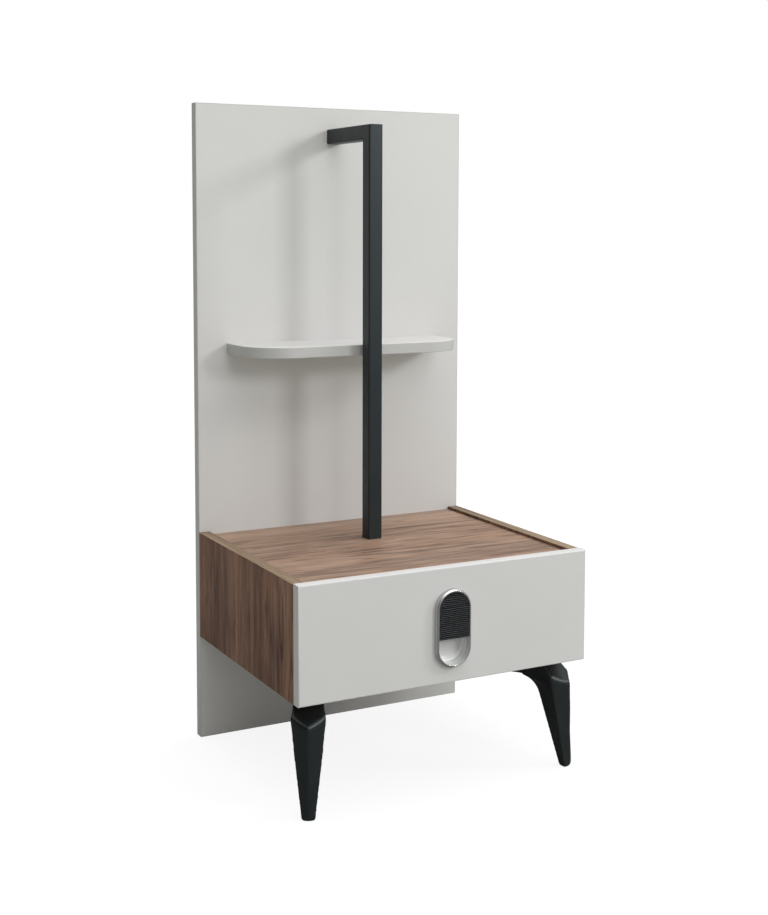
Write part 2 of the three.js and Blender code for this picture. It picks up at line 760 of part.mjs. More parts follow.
function drawerFront() {
  const z = [frontLowZ, frontLowZ + frontHeight];
  const board = block([-sideOuterX, sideOuterX], [frontFaceY, frontBackY], z);
  const pocketShape = obround(shellSize.width + 2 * handleFit, shellSize.height + 2 * handleFit);
  const pocket = drawnAlongY(pocketShape, -1, handleDepth + handleFit).translate(handlePlace);
  const cut = board.subtract(pocket);
  return centred("drawer_front", drilled(cut, [...frontScrews, ...handleDrillings]), greyBoard);
}

function drawerInnerFront() {
  const z = [drawerLowZ, drawerHighZ];
  const board = block([-drawerInnerX, drawerInnerX], [frontBackY, innerFrontRearY], z);
  const grooved = board.subtract(drawerBase(grooveClearance));
  return centred("drawer_inner_front", drilled(grooved, [...frontScrews, ...handleDrillings]), drawerBoard);
}

function drawerSide(side, sign, screws) {
  const x = [sign * drawerInnerX, sign * drawerOuterX].sort((a, b) => a - b);
  const board = block(x, [frontBackY, drawerRearY], [drawerLowZ, drawerHighZ]);
  const grooved = board.subtract(drawerBase(grooveClearance));
  return centred(`drawer_side_${side}`, drilled(grooved, screws), drawerBoard);
}

function drawerBack() {
  const y = [drawerRearY - drawerWall, drawerRearY];
  const board = block([-drawerInnerX, drawerInnerX], y, [baseHighZ + grooveClearance, drawerHighZ]);
  return centred("drawer_back", board, drawerBoard);
}

// Assembly
const legs = bothSides.map(([side, sign]) => legGroup(side, sign));
const runners = bothSides.map(([side, sign]) => runnerGroup(side, sign));
const legDrillings = legs.flatMap(({ drillings }) => drillings);
const runnerDrillings = runners.flatMap(({ drillings }) => drillings);

const carcass = new THREE.Group();
carcass.add(
  backPanel(),
  ...bothSides.map(([side, sign]) => sidePanel(side, sign, runnerDrillings)),
  topPanel(),
  bottomPanel(legDrillings),
  shelf(),
  ...[...carcassScrews, ...crossScrews, ...shelfScrews].map(screwMesh),
  ...dowels.map(dowelMesh),
);

const post = new THREE.Group();
post.add(
  postTube(),
  armTube(),
  tubePlug("post_plug", [0, postMiddleY, topSurfaceZ], up, postScrewPlace),
  tubePlug("arm_plug", [0, panelFaceY, armMiddleZ], forward, armScrewPlace),
  screwMesh(postScrewPlace),
  screwMesh(armScrewPlace),
);

const handle = new THREE.Group();
handle.position.set(...handlePlace);
handle.add(handleCup(), handleInsert(), ...handleScrews.map(screwMesh));

const drawer = new THREE.Group();
drawer.add(
  drawerFront(),
  drawerInnerFront(),
  ...bothSides.map(([side, sign]) => drawerSide(side, sign, runnerDrillings)),
  drawerBack(),
  centred("drawer_base", drawerBase(0), drawerBoard),
  ...frontScrews.map(screwMesh),
  handle,
);

const cabinet = new THREE.Group();
cabinet.name = "bedside_cabinet";
cabinet.add(carcass, post, drawer, ...legs.map(({ group }) => group), ...runners.map(({ group }) => group));

export default cabinet;
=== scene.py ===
import math

import bmesh
import bpy
from mathutils import Matrix, Vector


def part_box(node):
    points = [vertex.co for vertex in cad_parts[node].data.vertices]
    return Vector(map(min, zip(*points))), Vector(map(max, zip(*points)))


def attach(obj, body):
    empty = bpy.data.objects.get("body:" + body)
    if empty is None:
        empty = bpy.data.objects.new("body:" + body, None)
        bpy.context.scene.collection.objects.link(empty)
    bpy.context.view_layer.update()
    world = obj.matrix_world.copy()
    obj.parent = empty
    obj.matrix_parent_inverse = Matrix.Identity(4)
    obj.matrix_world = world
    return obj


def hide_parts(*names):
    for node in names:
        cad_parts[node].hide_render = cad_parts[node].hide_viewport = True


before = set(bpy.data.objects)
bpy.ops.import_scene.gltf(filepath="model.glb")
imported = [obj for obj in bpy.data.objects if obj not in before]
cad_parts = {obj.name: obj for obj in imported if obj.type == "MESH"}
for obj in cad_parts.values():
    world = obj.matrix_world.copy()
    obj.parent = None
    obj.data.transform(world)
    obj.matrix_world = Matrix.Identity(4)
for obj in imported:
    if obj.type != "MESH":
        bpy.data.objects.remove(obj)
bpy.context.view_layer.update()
MM = 0.001

# Camera: about two metres in front of the cabinet and to its left, at the height of its upper third, with
# a portrait lens. It looks down a little, and the shift brings the legs into the picture.
camera_data = bpy.data.cameras.new("camera")
camera_data.lens = 55.37
camera_data.sensor_width = 36
camera_data.shift_y = -0.12
camera = bpy.data.objects.new("camera", camera_data)
camera_place = Vector((-1.05697, -2.00057, 0.86653))
camera_yaw = -0.4842
camera_pitch = -0.0870
camera_roll = 0.0026
camera.matrix_world = (
    Matrix.Translation(camera_place)
    @ Matrix.Rotation(camera_yaw, 4, "Z")
    @ Matrix.Rotation(math.pi / 2 + camera_pitch, 4, "X")
    @ Matrix.Rotation(camera_roll, 4, "Z")
)
bpy.context.scene.collection.objects.link(camera)
bpy.context.scene.camera = camera


# Back panel: chipboard with warm grey melamine on both faces and thin bands of a slightly darker grey
# glued round its edges. It stands on the floor, and nine countersunk screws go through it from behind.
class Channel:
    """An output of a node. Arithmetic on channels adds Math nodes, so 1 - mask is a channel as well."""

    def __init__(self, nodes, socket):
        self.nodes = nodes
        self.socket = socket

    def maths(self, operation, *values):
        sockets = dict(zip(("Value", "Value_001", "Value_002"), values))
        return self.nodes.node("Math", {"operation": operation}, sockets)

    def __add__(self, other):
        return self.maths("ADD", self, other)

    def __radd__(self, other):
        return self.maths("ADD", other, self)

    def __sub__(self, other):
        return self.maths("SUBTRACT", self, other)

    def __rsub__(self, other):
        return self.maths("SUBTRACT", other, self)

    def __mul__(self, other):
        return self.maths("MULTIPLY", self, other)

    def __rmul__(self, other):
        return self.maths("MULTIPLY", other, self)

    def __pow__(self, other):
        return self.maths("POWER", self, other)

    def at_least(self, level):
        return self.maths("MAXIMUM", self, level)

    def sine(self):
        return self.maths("SINE", self)

    def between(self, low, high):
        """Rises from 0 at low to 1 at high, with soft ends."""
        settings = {"interpolation_type": "SMOOTHSTEP"}
        return self.nodes.node("MapRange", settings, {"Value": self, "From Min": low, "From Max": high})


class Nodes:
    """A node tree with one method that adds nodes."""

    def __init__(self, tree):
        self.tree = tree

    def feed(self, target, value):
        if isinstance(value, Channel):
            self.tree.links.new(value.socket, target)
        elif target.type == "RGBA":
            target.default_value = (*value, 1)
        else:
            target.default_value = value

    def node(self, kind, settings=None, inputs=None, output=None):
        made = self.tree.nodes.new("ShaderNode" + kind)
        for name, value in (settings or {}).items():
            if name == "stops":
                self.set_stops(made.color_ramp.elements, value)
            else:
                setattr(made, name, value)
        for name, value in (inputs or {}).items():
            found = [s for s in made.inputs if s.enabled and name in (s.identifier, s.name)]
            self.feed(found[0], value)
        outputs = [s for s in made.outputs if s.enabled and output in (None, s.name)]
        return Channel(self, outputs[0])

    def set_stops(self, elements, stops):
        while len(elements) < len(stops):
            elements.new(0.5)
        for element, (position, colour) in zip(elements, stops):
            element.position = position
            element.color = (*colour, 1)


class Finish(Nodes):
    """A material with one shader. Plain numbers and colours go straight into the shader's own sockets."""

    def __init__(self, name, **constants):
        self.material = bpy.data.materials.new(name)
        self.material.use_nodes = True
        super().__init__(self.material.node_tree)
        self.shader = self.tree.nodes["Principled BSDF"]
        for socket, value in constants.items():
            self.set(socket.replace("_", " "), value)

    def set(self, socket, value):
        self.feed(self.shader.inputs[socket], value)

    def place(self):
        return self.node("TexCoord", output="Object")

    def noise(self, place, scale, detail=2.0, roughness=0.5):
        values = {"Vector": place, "Detail": detail, "Roughness": roughness, "Scale": 1.0}
        if isinstance(scale, tuple):
            values["Vector"] = self.node("Mapping", {}, {"Vector": place, "Scale": scale})
        else:
            values["Scale"] = scale
        return self.node("TexNoise", {}, values, "Fac")

    def blend(self, share, first, second, kind="MIX"):
        inputs = {"Factor": share, "A": first, "B": second}
        return self.node("Mix", {"data_type": "RGBA", "blend_type": kind}, inputs)

    def bump(self, height, distance, strength=1.0):
        inputs = {"Height": height, "Distance": distance, "Strength": strength}
        self.set("Normal", self.node("Bump", {}, inputs))


def melamine(name, colour):
    """Matt grey melamine: an even colour with a faint cloudiness and the fine pebble of its press plate."""
    finish = Finish(name, Specular_IOR_Level=0.4)
    place = finish.place()
    cloud = finish.noise(place, 7, detail=4, roughness=0.6)
    speck = finish.noise(place, 900, detail=1)
    lighter = tuple(min(1, 1.05 * part) for part in colour)
    darker = tuple(0.95 * part for part in colour)
    finish.set("Base Color", finish.blend(0.25 * speck + 0.75 * cloud, darker, lighter))
    finish.set("Roughness", 0.44 + 0.1 * cloud + 0.06 * speck)
    finish.bump(finish.noise(place, 1500, detail=1), 0.03 * MM, 0.5)
    return finish


WELD = 0.005 * MM


def bevelled(shape, parts, size, segments, affect="EDGES"):
    """Rounds edges of a shape, or the corners of a flat one."""
    bmesh.ops.bevel(
        shape, geom=parts, offset=size, offset_type="OFFSET", affect=affect,
        segments=segments, profile=0.5, material=-1,
    )


def rounded_block(shape, low, high, radius, finish_index=0):
    """Adds a block between two corners to the shape, all its edges rounded."""
    low, high = Vector(low), Vector(high)
    verts = bmesh.ops.create_cube(shape, size=1)["verts"]
    bmesh.ops.scale(shape, vec=high - low, verts=verts)
    bmesh.ops.translate(shape, vec=(low + high) / 2, verts=verts)
    for face in {face for vert in verts for face in vert.link_faces}:
        face.material_index = finish_index
    edges = list({edge for vert in verts for edge in vert.link_edges})
    if radius > 0:
        bevelled(shape, edges, radius, segments=3)


BAND = 1 * MM
BAND_ROUNDING = 0.45 * MM
EDGES = {"left": (0, -1), "right": (0, 1), "front": (1, -1), "low": (2, -1), "high": (2, 1)}


def banded_block(shape, low, high, bands):
    """Adds a board and the bands that are glued on its edges. A band covers the ends of those before it."""
    low, high = Vector(low), Vector(high)
    for axis, end in [EDGES[name] for name in bands]:
        band_low, band_high = low.copy(), high.copy()
        if end > 0:
            high[axis] -= BAND
            band_low[axis] = high[axis]
        else:
            low[axis] += BAND
            band_high[axis] = low[axis]
        rounded_block(shape, band_low, band_high, BAND_ROUNDING, finish_index=1)
    rounded_block(shape, low, high, BAND_ROUNDING / 3)


def turned(shape, profile, place, along, steps=32):
    """Adds a closed turned shape. The profile holds pairs of radius and distance along the axis, and it
    starts and ends on the axis."""
    along = Vector(along).normalized()
    out = along.orthogonal().normalized()
    verts = [shape.verts.new(Vector(place) + radius * out + reach * along) for radius, reach in profile]
    edges = [shape.edges.new(pair) for pair in zip(verts, verts[1:])]
    bmesh.ops.spin(
        shape, geom=verts + edges, cent=place, axis=along, angle=2 * math.pi, steps=steps, use_merge=True,
    )
    bmesh.ops.remove_doubles(shape, verts=shape.verts, dist=WELD)


def as_object(shape, name):
    """A new object with the shape as its mesh, its faces outward."""
    bmesh.ops.recalc_face_normals(shape, faces=shape.faces)
    mesh = bpy.data.meshes.new(name)
    shape.to_mesh(mesh)
    shape.free()
    made = bpy.data.objects.new(name, mesh)
    bpy.context.scene.collection.objects.link(made)
    return made


def baked(body, *helpers):
    """The shape that the body's modifiers make of it. The body and its helpers are then removed."""
    result = bmesh.new()
    result.from_object(body, bpy.context.evaluated_depsgraph_get())
    for used in (body, *helpers):
        mesh = used.data
        bpy.data.objects.remove(used)
        bpy.data.meshes.remove(mesh)
    return result


def combined(shape, tool, operation="DIFFERENCE"):
    """The shape after the tool shape is cut away from it, or intersected with it."""
    body = as_object(shape, "body")
    cutter = as_object(tool, "cutter")
    boolean = body.modifiers.new("boolean", "BOOLEAN")
    boolean.object = cutter
    boolean.operation = operation
    boolean.solver = "EXACT"
    return baked(body, cutter)


def piece(name, shape, finishes, body, nodes, crease=40):
    """Makes the shape a piece of the cabinet that rides on a body and stands for nodes of the model."""
    made = as_object(shape, name)
    for finish in finishes:
        made.data.materials.append(finish.material)
    made.data.shade_smooth()
    made.data.set_sharp_from_angle(angle=math.radians(crease))
    weighted = made.modifiers.new("weighted_normals", "WEIGHTED_NORMAL")
    weighted.keep_sharp = True
    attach(made, body)
    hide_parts(*nodes)


# The countersunk holes in the boards are a little wider than the screws themselves.
DRILL_CLEARANCE = 0.25 * MM
CARCASS_SCREW = {"head": 5 * MM, "head_height": 4 * MM, "shank": 3 * MM, "sunk": True}
SHELF_SCREW = {"head": 4.5 * MM, "head_height": 3.6 * MM, "shank": 2.5 * MM, "sunk": True}
ARM_SCREW = {"head": 5.5 * MM, "head_height": 3.4 * MM, "shank": 2.9 * MM, "sunk": True}
panel_screws = {
    "side_screw_left_low": CARCASS_SCREW,
    "side_screw_left_high": CARCASS_SCREW,
    "side_screw_right_low": CARCASS_SCREW,
    "side_screw_right_high": CARCASS_SCREW,
    "top_panel_screw": CARCASS_SCREW,
    "bottom_panel_screw": CARCASS_SCREW,
    "shelf_screw_left": SHELF_SCREW,
    "shelf_screw_right": SHELF_SCREW,
    "arm_screw": ARM_SCREW,
}
FORWARD = Vector((0, -1, 0))


def middle(node):
    """The middle of a node's box."""
    low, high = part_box(node)
    return (low + high) / 2


def screw_holes(screws, depth):
    """Countersunk holes from the panel's rear face, one for each screw that goes through it."""
    holes = bmesh.new()
    for node, kind in screws.items():
        place = middle(node)
        place.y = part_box(node)[1].y
        head = kind["head"] + DRILL_CLEARANCE
        shank = kind["shank"] + DRILL_CLEARANCE
        sunk = kind["head_height"] + DRILL_CLEARANCE
        hole = [(0, -MM), (head, -MM), (head, DRILL_CLEARANCE), (shank, sunk), (shank, depth), (0, depth)]
        turned(holes, hole, place, FORWARD)
    return holes


panel_grey = melamine("grey_melamine", (0.635, 0.628, 0.617))
panel_band = melamine("grey_edge_band", (0.55, 0.548, 0.525))
panel_low, panel_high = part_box("back_panel")
panel_depth = panel_high.y - panel_low.y
board = bmesh.new()
banded_block(board, panel_low, panel_high, ["low", "high", "left", "right"])
board = combined(board, screw_holes(panel_screws, panel_depth + MM))
piece("back_panel_board", board, [panel_grey, panel_band], "cabinet", ["back_panel"])


# Box: two sides, a top set 5 mm below their upper edges and a bottom, all of chipboard in a printed walnut
# foil with embossed pores. Paler walnut bands cover the edges that show. Dowels and screws join the boards.
MID_TONE = 0.53
MEAN_OF_FIELDS = 1.27
TONE_PLACES = (0.1, 0.32, 0.52, 0.7, 0.92)
GREY_CAST = (0.86, 0.91, 0.96)
STREAK_DARKNESS = 0.22
# A small darkening of the whole top, then painted light: how much lighter the top's colour is painted
# towards the back panel, and where across the grain that rise begins and ends.
FRONT_DARKNESS = 0.035
PAINTED_REAR_LIGHT = 0.32
PAINTED_LIGHT_FROM = -80 * MM
PAINTED_LIGHT_TO = 100 * MM


def walnut(name, grain, shift, tones, contrast=1.0, fine=1.0, broad=0.75, dark_streak=None):
    """Walnut foil with its grain along an axis, 0 for X. The shift picks another stretch of the print.
    A fine print has narrower lines, and a broad one stronger bands and weaker flecks. A dark streak has
    its place across the grain and its half width. Where a streak is given, the colour is also painted
    lighter towards the back panel: painted light that lifts the shade the panel throws on the top."""
    finish = Finish(name, Specular_IOR_Level=0.12)
    moved = finish.node("Mapping", {}, {"Vector": finish.place(), "Location": shift})
    axes = [finish.node("SeparateXYZ", {}, {"Vector": moved}, letter) for letter in "XYZ"]
    along = axes.pop(grain)
    across, depth = axes

    def field(stretch, fineness, detail=2.0, roughness=0.5, bend=0.0):
        y = (across + bend) * fineness * fine
        z = depth * fineness * fine
        place = finish.node("CombineXYZ", {}, {"X": along * stretch, "Y": y, "Z": z})
        return finish.noise(place, 1.0, detail, roughness)

    bend = 0.05 * (field(1.3, 4, 1) - 0.5)
    plank = field(0.8, 15, 2, 0.55, bend)
    streak = field(2.6, 110, 5, 0.75, bend)
    fleck = field(11, 75, 3, 0.6, bend)
    fibre = field(14, 700, 2, 0.6, bend)
    rings = ((across + bend) * 520 + 14 * field(0.9, 6, 1, 0.5) + 3 * plank).sine()
    lines = (rings * 0.5 + 0.5) ** 3
    flame = ((field(1.7, 13, 2, 0.5, bend) * 75).sine() * 0.5 + 0.5) ** 9
    flame = flame * field(3.1, 9, 2).between(0.5, 0.62)
    pore = field(36, 1500, 1, 0.5, bend).between(0.6, 0.72)
    fields = broad * plank + 0.85 * streak + (1.3 - broad) * fleck + 0.4 * fibre
    tone = MID_TONE + contrast * (fields - MEAN_OF_FIELDS)
    tone = tone - contrast * (0.1 * lines + 0.3 * flame + 0.1 * pore)
    if dark_streak:
        place, half_width = dark_streak
        near = across + bend - place
        edge = 0.2 * half_width
        core = near.between(-half_width, -edge) * (1 - near.between(edge, half_width))
        tone = tone - core * field(3.2, 60, 3, 0.6, bend).between(0.3, 0.62) * STREAK_DARKNESS
        # Painted light: the colour grows lighter towards the back panel, against the shade the panel throws
        # on the top, and the whole top is darkened slightly by a constant.
        tone = tone + PAINTED_REAR_LIGHT * near.between(PAINTED_LIGHT_FROM, PAINTED_LIGHT_TO) - FRONT_DARKNESS
    colour = finish.node("ValToRGB", {"stops": list(zip(TONE_PLACES, tones))}, {"Fac": tone})
    greyed = finish.blend(1.0, colour, GREY_CAST, "MULTIPLY")
    grey_parts = field(0.9, 26, 3, 0.6, bend).between(0.45, 0.65)
    finish.set("Base Color", finish.blend(grey_parts, colour, greyed))
    finish.set("Roughness", 0.42 + 0.12 * pore + 0.08 * streak)
    finish.bump(0.5 * fibre - pore - 0.3 * lines, 0.08 * MM, 0.6)
    return finish


def rod(shape, radius, length, place, along, steps=16):
    """Adds a plain cylinder from a place along an axis."""
    turned(shape, [(0, 0), (radius, 0), (radius, length), (0, length)], place, along, steps)


# Tones from dark to light.
TOP_TONES = [
    (0.107, 0.07, 0.05), (0.195, 0.122, 0.086), (0.29, 0.186, 0.13),
    (0.355, 0.236, 0.168), (0.43, 0.298, 0.215),
]
# The sides get darker, redder tones than the top, though the foil is the same: painted shade for the side
# that faces away from the lamps.
SHADED_SIDE_TONES = [
    (0.085, 0.045, 0.03), (0.155, 0.082, 0.055), (0.23, 0.125, 0.083),
    (0.3, 0.165, 0.11), (0.38, 0.22, 0.15),
]
BAND_TONES = [
    (0.14, 0.09, 0.06), (0.21, 0.142, 0.09), (0.265, 0.187, 0.12),
    (0.31, 0.225, 0.145), (0.37, 0.275, 0.18),
]
# Each board's banded edges and the stretch of the print that it shows.
box_boards = {
    "top_panel": (["front"], (0.13, 0.4, 0.1)),
    "bottom_panel": (["front"], (1.7, 2.2, 0.6)),
    "side_panel_left": (["low", "high", "front"], (0.31, 0.52, 2.35)),
    "side_panel_right": (["low", "high", "front"], (2.9, 1.37, 0.45)),
}
# The top's dark streak lies about a quarter of its depth from the back panel.
STREAK_SETBACK = 0.26
STREAK_HALF_WIDTH = 12 * MM
top_low, top_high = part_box("top_panel")
streak_y = top_high.y - STREAK_SETBACK * (top_high.y - top_low.y)
DOWEL_BORE_RADIUS = 4.15 * MM
for node, (bands, shift) in box_boards.items():
    board = bmesh.new()
    banded_block(board, *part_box(node), bands)
    bores = bmesh.new()
    for dowel in [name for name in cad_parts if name.startswith("dowel_")]:
        low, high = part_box(dowel)
        reach = high.x - low.x
        start = middle(dowel) - Vector((reach / 2, 0, 0))
        rod(bores, DOWEL_BORE_RADIUS, reach, start, (1, 0, 0))
    board = combined(board, bores)
    dark_streak = (streak_y + shift[1], STREAK_HALF_WIDTH) if node == "top_panel" else None
    if "side" in node:
        foil = walnut(f"walnut_foil_{node}", 2, shift, SHADED_SIDE_TONES, contrast=1.35)
    else:
        foil = walnut(f"walnut_foil_{node}", 0, shift, TOP_TONES, broad=0.35, dark_streak=dark_streak)
    band_grain = 1 if "side" in node else 0
    band = walnut(f"walnut_band_{node}", band_grain, shift, BAND_TONES, contrast=1.4, fine=2.2)
    piece(f"{node}_board", board, [foil, band], "cabinet", [node])


def beech():
    """Bare beech with short darker rays along the dowel."""
    finish = Finish("beech", Specular_IOR_Level=0.3)
    ray = finish.noise(finish.place(), (60, 900, 900), detail=2)
    finish.set("Base Color", finish.blend(ray.between(0.35, 0.7), (0.62, 0.44, 0.26), (0.42, 0.27, 0.14)))
    finish.set("Roughness", 0.6 + 0.2 * ray)
    finish.bump(ray, 0.1 * MM, 0.5)
    return finish


def dress(finish, *starts):
    """Gives a finish to the nodes of the model whose names start with these words."""
    for name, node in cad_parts.items():
        if name.startswith(starts):
            for holder in node.material_slots:
                holder.material = finish.material


dress(beech(), "dowel_")


# Shelf: an 18 mm fibreboard in a light satin lacquer, with a darker grey round its edge and its two front
# corners rounded. Two screws through the back panel hold it by its rear edge.
SHELF_CORNER = 72 * MM
EDGE_ROUNDING = 1.2 * MM


def upright(edge):
    """Whether an edge stands, as at a board's corners."""
    return abs(edge.verts[0].co.z - edge.verts[1].co.z) > 5 * MM


def lacquer(name, colour):
    """Satin lacquer with a faint flow in its surface."""
    finish = Finish(name, Specular_IOR_Level=0.5)
    place = finish.place()
    flow = finish.noise(place, 160, detail=2)
    cloud = finish.noise(place, 9, detail=3)
    finish.set("Base Color", finish.blend(cloud, tuple(0.97 * part for part in colour), colour))
    finish.set("Roughness", 0.36 + 0.1 * cloud)
    finish.bump(flow, 0.04 * MM, 0.35)
    return finish


shelf_low, shelf_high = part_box("shelf")
board = bmesh.new()
rounded_block(board, shelf_low, shelf_high, 0)
corners = [e for e in board.edges if upright(e) and e.verts[0].co.y < (shelf_low.y + shelf_high.y) / 2]
bevelled(board, corners, SHELF_CORNER, segments=24)
rims = [e for e in board.edges if not upright(e) and len({round(f.normal.z) for f in e.link_faces}) > 1]
bevelled(board, rims, EDGE_ROUNDING, segments=3)
board.normal_update()
for face in board.faces:
    face.material_index = 1 if abs(face.normal.z) < 0.5 else 0
bores = bmesh.new()
for node in ("shelf_screw_left", "shelf_screw_right"):
    low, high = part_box(node)
    start = Vector((middle(node).x, shelf_high.y + MM, middle(node).z))
    rod(bores, SHELF_SCREW["shank"] + DRILL_CLEARANCE, start.y - low.y, start, FORWARD)
board = combined(board, bores)
shelf_grey = lacquer("light_grey_lacquer", (0.61, 0.602, 0.59))
shelf_band = lacquer("grey_shelf_band", (0.49, 0.488, 0.478))
piece("shelf_board", board, [shelf_grey, shelf_band], "cabinet", ["shelf"])


# Post and arm: one square steel tube with rounded corners, cut to a mitre, welded, ground flush and powder
# coated. Threaded plastic plugs in its open ends take the screws from the top panel and the back panel.
TUBE_WALL = 1.5 * MM
TUBE_CORNER = 2.6 * MM


def powder_coat():
    """Satin black powder coat with a fine orange peel, a little blue in what it mirrors."""
    finish = Finish("black_powder_coat", Specular_IOR_Level=0.4, Specular_Tint=(0.8, 0.95, 1))
    place = finish.place()
    peel = finish.noise(place, 420, detail=2)
    cloud = finish.noise(place, 12, detail=3)
    finish.set("Base Color", finish.blend(cloud, (0.01, 0.0115, 0.0125), (0.017, 0.0195, 0.021)))
    finish.set("Roughness", 0.34 + 0.14 * cloud + 0.06 * peel)
    finish.bump(peel, 0.06 * MM, 0.6)
    return finish


def extruded(shape, faces, by):
    """Draws faces of a shape out along a vector."""
    drawn = bmesh.ops.extrude_face_region(shape, geom=faces)
    moved = [part for part in drawn["geom"] if isinstance(part, bmesh.types.BMVert)]
    bmesh.ops.translate(shape, vec=by, verts=moved)


def square_tube(size, length):
    """A tube with rounded corners and its own wall, from the origin along +Z."""
    shape = bmesh.new()
    bmesh.ops.create_grid(shape, x_segments=1, y_segments=1, size=size / 2)
    bevelled(shape, shape.verts[:], TUBE_CORNER, segments=6, affect="VERTICES")
    bmesh.ops.inset_region(
        shape, faces=shape.faces[:], thickness=TUBE_WALL, use_even_offset=True, use_boundary=True,
    )
    bore = min(shape.faces, key=lambda face: face.calc_center_median().length)
    bmesh.ops.delete(shape, geom=[bore], context="FACES_ONLY")
    extruded(shape, shape.faces[:], (0, 0, length))
    return shape


def mitred(shape, corner, keep):
    """Cuts a tube off at 45 degrees through the corner. What lies on the far side from keep goes."""
    cut = bmesh.ops.bisect_plane(
        shape, geom=shape.verts[:] + shape.edges[:] + shape.faces[:], plane_co=corner,
        plane_no=-Vector(keep), clear_outer=True,
    )
    rim = [part for part in cut["geom_cut"] if isinstance(part, bmesh.types.BMEdge)]
    bmesh.ops.bridge_loops(shape, edges=rim)


post_low, post_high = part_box("post_tube")
arm_low, arm_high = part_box("arm_tube")
tube_size = post_high.x - post_low.x
mitre_corner = Vector((0, post_low.y, post_high.z))
coat = powder_coat()

post = square_tube(tube_size, post_high.z - post_low.z)
post_foot = Vector((middle("post_plug").x, middle("post_plug").y, post_low.z))
bmesh.ops.translate(post, vec=post_foot, verts=post.verts)
mitred(post, mitre_corner, (0, -1, -1))
piece("post_tube_coated", post, [coat], "cabinet", ["post_tube"], crease=50)

arm = square_tube(tube_size, arm_high.y - arm_low.y)
bmesh.ops.rotate(arm, cent=(0, 0, 0), matrix=Matrix.Rotation(math.pi / 2, 3, "X"), verts=arm.verts)
bmesh.ops.translate(arm, vec=(0, arm_high.y, arm_high.z - tube_size / 2), verts=arm.verts)
mitred(arm, mitre_corner, (0, 1, 1))
piece("arm_tube_coated", arm, [coat], "cabinet", ["arm_tube"], crease=50)


def moulded_plastic(name, colour, roughness, shine):
    """Black moulded plastic with the fine spark texture of its mould and slight flow marks."""
    finish = Finish(name, Specular_IOR_Level=shine, Specular_Tint=(0.85, 0.96, 1))
    place = finish.place()
    spark = finish.noise(place, 1100, detail=2, roughness=0.6)
    flow = finish.noise(place, (14, 14, 5), detail=3)
    darker = tuple(0.75 * part for part in colour)
    finish.set("Base Color", finish.blend(flow, darker, colour))
    finish.set("Roughness", roughness + 0.1 * flow + 0.08 * spark)
    finish.bump(spark, 0.03 * MM, 0.5)
    return finish


leg_black = moulded_plastic("black_moulded_plastic", (0.011, 0.013, 0.0132), 0.24, 0.5)
dress(leg_black, "post_plug", "arm_plug")


# Legs: two mirrored mouldings of satin black plastic. Each has a ridge at the front that ends below a
# scoop, and an arm under the box that two screws hold from below.
LEG_SQUARE = 1.5 * MM
LEG_TURN = math.radians(65)
EDGE_PASSES = 5
SCOOP_PASSES = 12
SCOOP_REACHES = (46 * MM, 38 * MM, 30 * MM, 22 * MM)
RIDGE_TOLERANCE = 0.1 * MM


def merged_copy(node):
    """The node's mesh in a new shape, with its triangles joined into whole flat faces."""
    shape = bmesh.new()
    shape.from_mesh(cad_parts[node].data)
    bmesh.ops.remove_doubles(shape, verts=shape.verts[:], dist=0.01 * MM)
    bmesh.ops.dissolve_limit(
        shape, angle_limit=math.radians(1), verts=shape.verts[:], edges=shape.edges[:],
        use_dissolve_boundaries=False,
    )
    return shape


def in_squares(shape, size):
    """The same shape with its surface made of even squares."""
    body = as_object(shape, "body")
    remesh = body.modifiers.new("remesh", "REMESH")
    remesh.mode = "VOXEL"
    remesh.voxel_size = size
    return baked(body)


def soften(shape, verts, passes):
    """Draws vertices towards their neighbours, once a pass."""
    for _ in range(passes):
        bmesh.ops.smooth_vert(
            shape, verts=verts, factor=0.5, use_axis_x=True, use_axis_y=True, use_axis_z=True,
        )


for side, sign in (("left", -1), ("right", 1)):
    leg = merged_copy(f"leg_{side}")
    outward = Vector((sign * math.cos(LEG_TURN), -math.sin(LEG_TURN), 0))
    foremost = max(vert.co.dot(outward) for vert in leg.verts)
    ridge = [vert.co for vert in leg.verts if vert.co.dot(outward) > foremost - RIDGE_TOLERANCE]
    ridge_end = max(ridge, key=lambda point: point.z).copy()
    leg = in_squares(leg, LEG_SQUARE)
    soften(leg, leg.verts[:], EDGE_PASSES)
    box_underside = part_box(f"leg_{side}")[1].z
    for reach in SCOOP_REACHES:
        below_box = [vert for vert in leg.verts if vert.co.z < box_underside - LEG_SQUARE]
        soften(leg, [vert for vert in below_box if (vert.co - ridge_end).length < reach], SCOOP_PASSES)
    piece(f"leg_{side}_moulding", leg, [leg_black], "cabinet", [f"leg_{side}"], crease=80)


# Runners: on each side an outer member on the carcass, a middle member and an inner member on the drawer,
# rolled from zinc-plated steel with slots in their webs. Two cages keep the balls between them.
BEND_RADIUS = 1.6 * MM
RUNNER_WALL = 1.2 * MM
RUNNER_SCREW = {"head": 3.2 * MM, "head_height": 1.6 * MM, "shank": 1.6 * MM, "sunk": False}
SLOT_LENGTH = 16 * MM
SLOT_HEIGHT = 5 * MM
SLOT_PITCH = 62 * MM
TOUCHING = 0.001 * MM


def zinc_plate():
    """Bright zinc plate: a cool white metal with cloudy passivation, rolling lines and a few dull spots."""
    finish = Finish("zinc_plate", Metallic=1.0)
    place = finish.place()
    cloud = finish.noise(place, 45, detail=4, roughness=0.6)
    rolled = finish.noise(place, (700, 9, 700), detail=1)
    tint = finish.blend(cloud, (0.5, 0.51, 0.52), (0.68, 0.69, 0.68))
    finish.set("Base Color", tint)
    finish.set("Roughness", 0.2 + 0.2 * cloud + 0.1 * rolled)
    finish.bump(rolled, 0.02 * MM, 0.5)
    return finish


zinc = zinc_plate()
dress(zinc, "runner_outer_cage", "runner_inner_cage")


